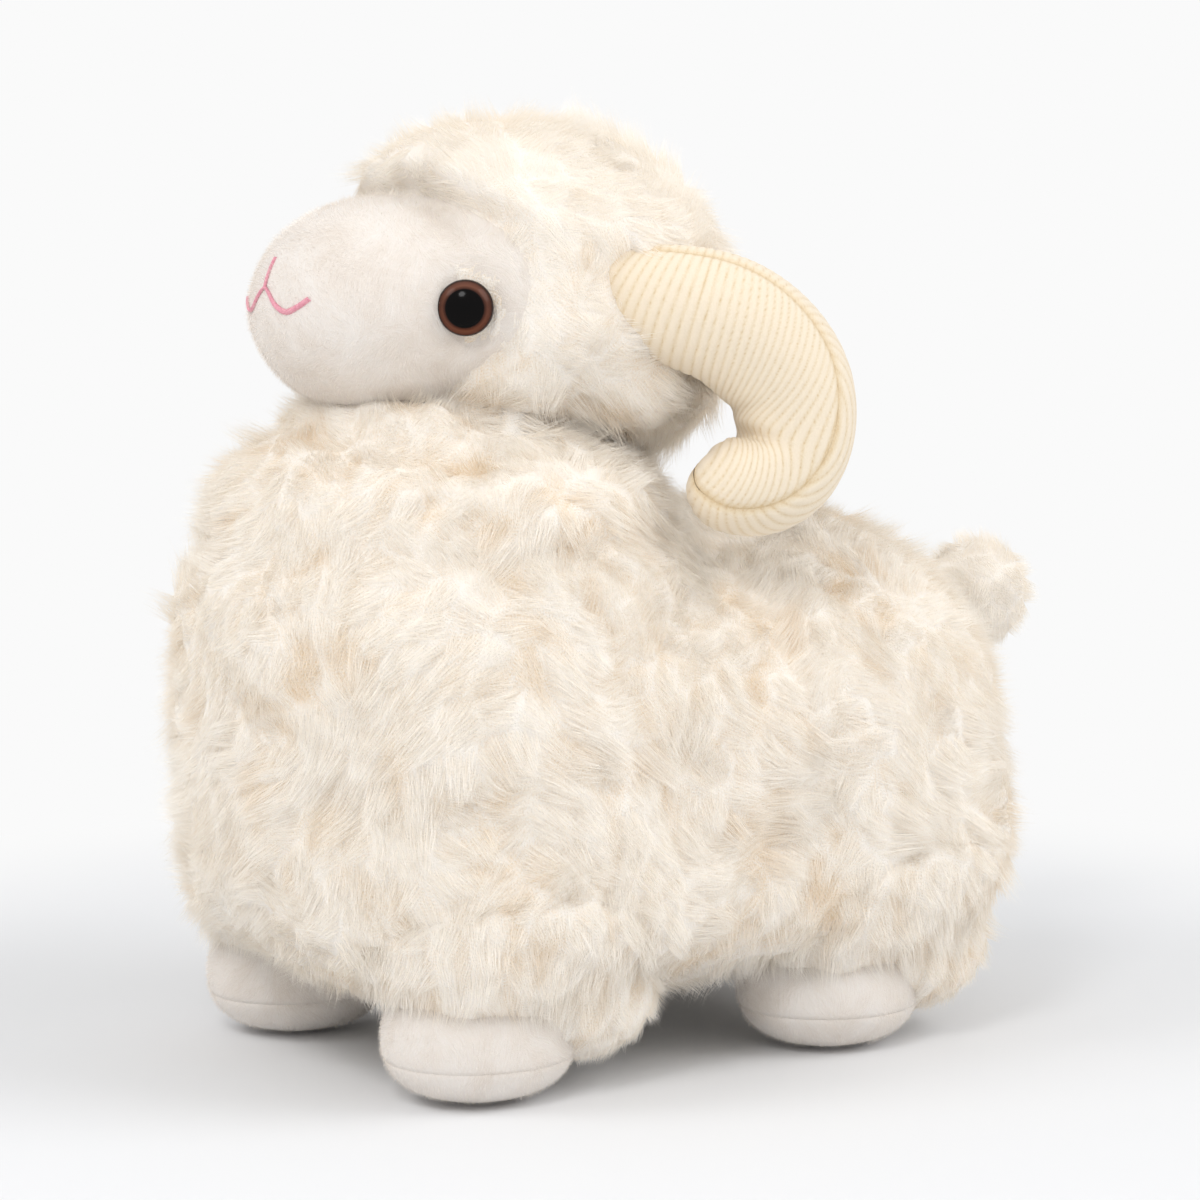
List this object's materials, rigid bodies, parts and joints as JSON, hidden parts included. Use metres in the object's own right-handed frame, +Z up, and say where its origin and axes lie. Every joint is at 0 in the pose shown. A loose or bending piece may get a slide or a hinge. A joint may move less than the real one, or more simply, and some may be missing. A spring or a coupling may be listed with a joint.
{
  "type": "plush sheep",
  "caption": "Standing plush sheep with long fleece on a rounded body and hood, a short pile face and feet, glossy eyes, a stitched mouth, curled corduroy horns and a puff tail.",
  "frame": {"origin": "on the surface it stands on, under the middle of its overall box", "axes": "+Z up, -Y the way it faces, +X its own left side"},
  "size_m": [0.1594, 0.254, 0.2383],
  "materials": {
    "fleece": "long curly pile, matt",
    "short_pile": "short dense pile, matt",
    "corduroy": "ribbed corduroy, matt",
    "stuffing_fibre": "loose polyester fibre",
    "eye": "polished dome",
    "washer": "moulded",
    "thread": "satin stitch"
  },
  "bodies": {
    "sheep": {"belly_fleece": "fleece", "body_fleece_left": "fleece", "body_fleece_right": "fleece", "body_stuffing": "stuffing_fibre", "eye_left": "eye", "eye_right": "eye", "eye_washer_left": "washer", "eye_washer_right": "washer", "face_cover": "short_pile", "front_left_foot_cover": "short_pile", "front_left_leg_fleece": "fleece", "front_left_leg_stuffing": "stuffing_fibre", "front_left_sole": "short_pile", "front_right_foot_cover": "short_pile", "front_right_leg_fleece": "fleece", "front_right_leg_stuffing": "stuffing_fibre", "front_right_sole": "short_pile", "head_stuffing": "stuffing_fibre", "hind_left_foot_cover": "short_pile", "hind_left_leg_fleece": "fleece", "hind_left_leg_stuffing": "stuffing_fibre", "hind_left_sole": "short_pile", "hind_right_foot_cover": "short_pile", "hind_right_leg_fleece": "fleece", "hind_right_leg_stuffing": "stuffing_fibre", "hind_right_sole": "short_pile", "hood_fleece_left": "fleece", "hood_fleece_right": "fleece", "mouth_stitching": "thread"},
    "horn_left": {"horn_left_outer_panel": "corduroy", "horn_left_inner_panel": "corduroy", "horn_left_stuffing": "stuffing_fibre"},
    "horn_right": {"horn_right_outer_panel": "corduroy", "horn_right_inner_panel": "corduroy", "horn_right_stuffing": "stuffing_fibre"},
    "tail": {"tail_fleece": "fleece", "tail_stuffing": "stuffing_fibre"}
  },
  "joints": [
    {"name": "horn_left_flex", "type": "hinge", "parent": "sheep", "child": "horn_left", "pos_m": [0.0507, -0.038, 0.19109], "axis": [0, 0, -1], "range_deg": [0, 15], "stiffness_Nm_per_rad": 0.2},
    {"name": "horn_right_flex", "type": "hinge", "parent": "sheep", "child": "horn_right", "pos_m": [-0.0507, -0.038, 0.19109], "axis": [0, 0, 1], "range_deg": [0, 15], "stiffness_Nm_per_rad": 0.2},
    {"name": "tail_flex", "type": "hinge", "parent": "sheep", "child": "tail", "pos_m": [0, 0.08771, 0.11497], "axis": [1, 0, 0], "range_deg": [0, 15], "stiffness_Nm_per_rad": 0.05}
  ]
}
